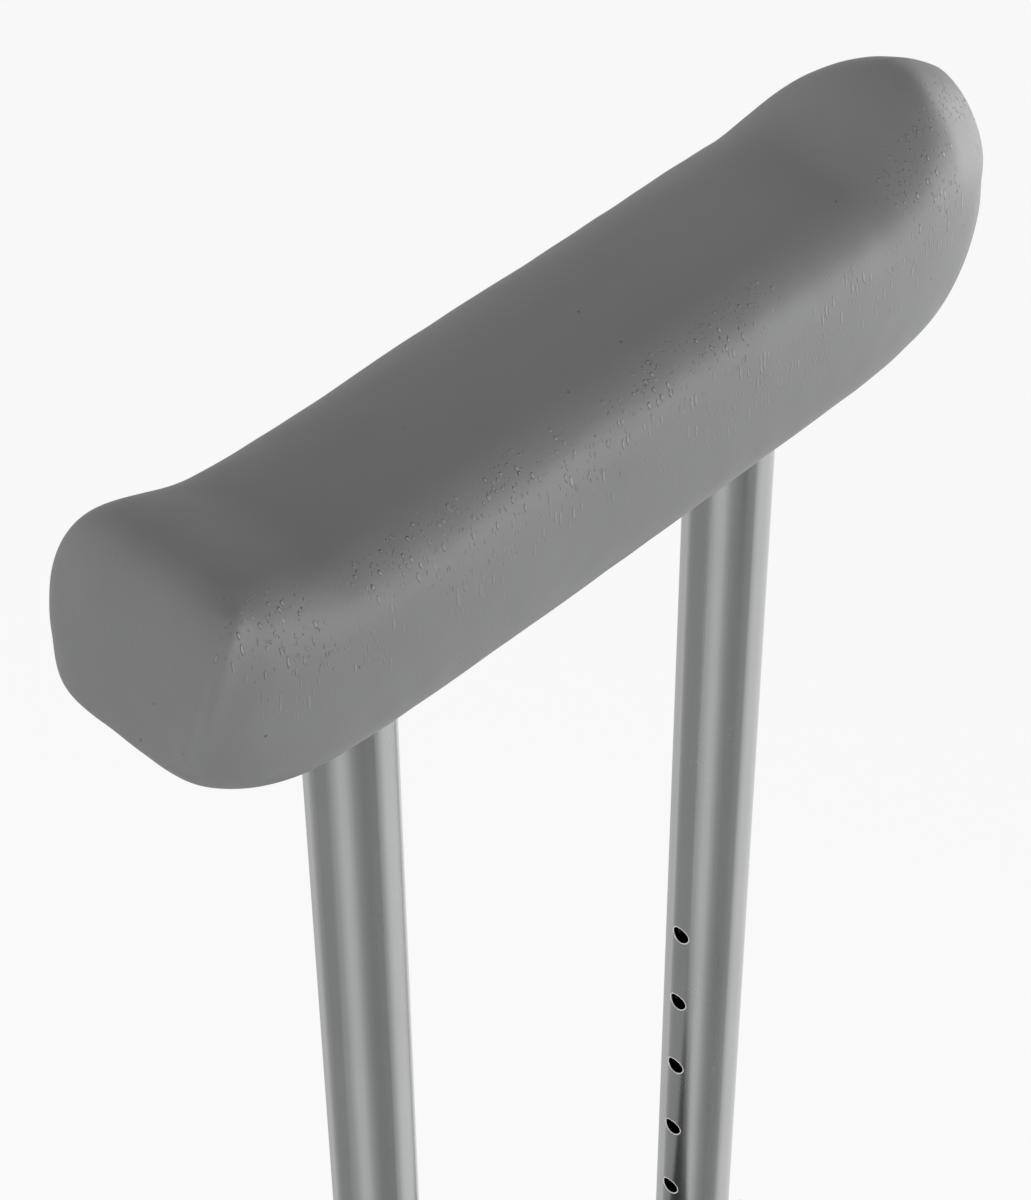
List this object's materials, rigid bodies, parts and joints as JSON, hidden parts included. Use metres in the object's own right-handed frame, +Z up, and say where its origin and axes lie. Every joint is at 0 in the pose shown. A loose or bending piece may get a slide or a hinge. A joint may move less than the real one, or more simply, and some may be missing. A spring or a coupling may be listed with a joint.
{
  "type": "pair of underarm crutches",
  "caption": "Pair of height-adjustable underarm crutches with saddle-shaped foam pads, twin aluminium uprights, foam hand grips, telescoping legs and rubber tips.",
  "frame": {"origin": "on the floor, midway between the two crutches' tips", "axes": "+Z up along the crutches, +X along the underarm pads from front to rear, +Y from the second crutch to the first"},
  "size_m": [0.236, 0.456, 1.1402],
  "materials": {
    "pad_foam": "matt closed-cell foam skin with fine pits",
    "grip_foam": "matt closed-cell foam",
    "tip_rubber": "matt moulded rubber",
    "satin_aluminium": "satin anodised",
    "black_plastic": "fine moulded texture",
    "bright_steel": "zinc-plated"
  },
  "bodies": {
    "first_frame": {"first_underarm_pad": "pad_foam", "first_crosspiece": "black_plastic", "first_crosspiece_rivets": "bright_steel", "first_front_upright": "satin_aluminium", "first_rear_upright": "satin_aluminium", "first_upright_plugs": "black_plastic", "first_centre_tube": "satin_aluminium", "first_centre_cap": "black_plastic", "first_frame_bolts": "bright_steel", "first_frame_washers": "bright_steel", "first_frame_nuts": "bright_steel", "first_leg_collar": "black_plastic"},
    "first_leg": {"first_leg_tube": "satin_aluminium", "first_leg_glide": "black_plastic", "first_button_spring": "bright_steel", "first_tip": "tip_rubber", "first_tip_washer": "bright_steel"},
    "first_left_button": {"first_left_button": "bright_steel"},
    "first_right_button": {"first_right_button": "bright_steel"},
    "first_grip": {"first_grip_core": "black_plastic", "first_grip_foam": "grip_foam", "first_grip_bolt": "bright_steel", "first_grip_washers": "bright_steel"},
    "first_wing_nut": {"first_wing_nut": "bright_steel"},
    "second_frame": {"second_underarm_pad": "pad_foam", "second_crosspiece": "black_plastic", "second_crosspiece_rivets": "bright_steel", "second_front_upright": "satin_aluminium", "second_rear_upright": "satin_aluminium", "second_upright_plugs": "black_plastic", "second_centre_tube": "satin_aluminium", "second_centre_cap": "black_plastic", "second_frame_bolts": "bright_steel", "second_frame_washers": "bright_steel", "second_frame_nuts": "bright_steel", "second_leg_collar": "black_plastic"},
    "second_leg": {"second_leg_tube": "satin_aluminium", "second_leg_glide": "black_plastic", "second_button_spring": "bright_steel", "second_tip": "tip_rubber", "second_tip_washer": "bright_steel"},
    "second_left_button": {"second_left_button": "bright_steel"},
    "second_right_button": {"second_right_button": "bright_steel"},
    "second_grip": {"second_grip_core": "black_plastic", "second_grip_foam": "grip_foam", "second_grip_bolt": "bright_steel", "second_grip_washers": "bright_steel"},
    "second_wing_nut": {"second_wing_nut": "bright_steel"}
  },
  "joints": [
    {"name": "first_grip_height", "type": "slide", "parent": "first_frame", "child": "first_grip", "axis": [0, 0, 1], "range_m": [-0.1524, 0.1524]},
    {"name": "first_wing_nut_spin", "type": "hinge", "parent": "first_grip", "child": "first_wing_nut", "pos_m": [0.0735, 0.2, 0.76134], "axis": [1, 0, 0], "continuous": true},
    {"name": "first_leg_length", "type": "slide", "parent": "first_frame", "child": "first_leg", "axis": [0, 0, -1], "range_m": [0, 0.1524]},
    {"name": "first_left_button_press", "type": "slide", "parent": "first_leg", "child": "first_left_button", "axis": [0, -1, 0], "range_m": [0, 0.0042], "stiffness_N_per_m": 1200, "springref_m": -0.002, "deforming": ["first_button_spring"]},
    {"name": "first_right_button_press", "type": "slide", "parent": "first_leg", "child": "first_right_button", "axis": [0, 1, 0], "range_m": [0, 0.0042], "stiffness_N_per_m": 1200, "springref_m": -0.002, "deforming": ["first_button_spring"]},
    {"name": "second_grip_height", "type": "slide", "parent": "second_frame", "child": "second_grip", "axis": [0, 0, 1], "range_m": [-0.1524, 0.1524]},
    {"name": "second_wing_nut_spin", "type": "hinge", "parent": "second_grip", "child": "second_wing_nut", "pos_m": [0.0735, -0.2, 0.76134], "axis": [1, 0, 0], "continuous": true},
    {"name": "second_leg_length", "type": "slide", "parent": "second_frame", "child": "second_leg", "axis": [0, 0, -1], "range_m": [0, 0.1524]},
    {"name": "second_left_button_press", "type": "slide", "parent": "second_leg", "child": "second_left_button", "axis": [0, -1, 0], "range_m": [0, 0.0042], "stiffness_N_per_m": 1200, "springref_m": -0.002, "deforming": ["second_button_spring"]},
    {"name": "second_right_button_press", "type": "slide", "parent": "second_leg", "child": "second_right_button", "axis": [0, 1, 0], "range_m": [0, 0.0042], "stiffness_N_per_m": 1200, "springref_m": -0.002, "deforming": ["second_button_spring"]},
    {"name": "second_crutch_apart", "type": "slide", "parent": "first_frame", "child": "second_frame", "axis": [0, -1, 0], "range_m": [-0.15, 0.6]}
  ]
}
